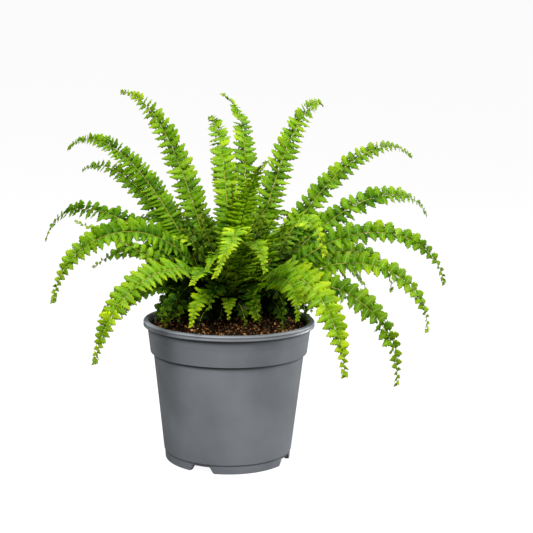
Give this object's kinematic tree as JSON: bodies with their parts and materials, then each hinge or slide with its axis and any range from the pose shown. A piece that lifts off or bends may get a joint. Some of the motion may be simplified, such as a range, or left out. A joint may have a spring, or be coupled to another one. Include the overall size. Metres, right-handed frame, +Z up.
{
  "type": "potted boston fern",
  "caption": "Boston fern with arching comb-shaped fronds, growing in soil in a round dark grey nursery pot with a rolled lip and drain notches.",
  "frame": {"origin": "centre of the pot's foot, on the surface that the pot stands on", "axes": "+Z up along the pot's axis, +X to the right and -Y to the front as the picture sees it"},
  "size_m": [0.3173, 0.2882, 0.2784],
  "materials": {
    "pot_plastic": "satin",
    "peat_soil": "rough, crumbly",
    "frond_leaf": "satin leaf"
  },
  "bodies": {
    "root": {"pot": "pot_plastic", "potting_soil": "peat_soil", "frond_01": "frond_leaf", "frond_02": "frond_leaf", "frond_03": "frond_leaf", "frond_04": "frond_leaf", "frond_05": "frond_leaf", "frond_06": "frond_leaf", "frond_07": "frond_leaf", "frond_08": "frond_leaf", "frond_09": "frond_leaf", "frond_10": "frond_leaf", "frond_11": "frond_leaf", "frond_12": "frond_leaf", "frond_13": "frond_leaf", "frond_14": "frond_leaf", "frond_15": "frond_leaf", "frond_16": "frond_leaf", "frond_17": "frond_leaf", "frond_18": "frond_leaf", "frond_19": "frond_leaf", "frond_20": "frond_leaf", "frond_21": "frond_leaf", "frond_22": "frond_leaf", "frond_23": "frond_leaf", "frond_24": "frond_leaf", "frond_25": "frond_leaf", "frond_26": "frond_leaf", "frond_27": "frond_leaf", "frond_28": "frond_leaf", "frond_29": "frond_leaf", "frond_30": "frond_leaf", "frond_31": "frond_leaf", "frond_32": "frond_leaf", "frond_33": "frond_leaf", "frond_34": "frond_leaf", "frond_35": "frond_leaf", "frond_36": "frond_leaf", "frond_37": "frond_leaf", "frond_38": "frond_leaf", "frond_39": "frond_leaf", "frond_40": "frond_leaf", "frond_41": "frond_leaf", "frond_42": "frond_leaf", "frond_43": "frond_leaf", "frond_44": "frond_leaf", "frond_45": "frond_leaf", "frond_46": "frond_leaf", "frond_47": "frond_leaf", "frond_48": "frond_leaf", "frond_49": "frond_leaf", "frond_50": "frond_leaf", "frond_51": "frond_leaf", "frond_52": "frond_leaf"}
  },
  "joints": []
}
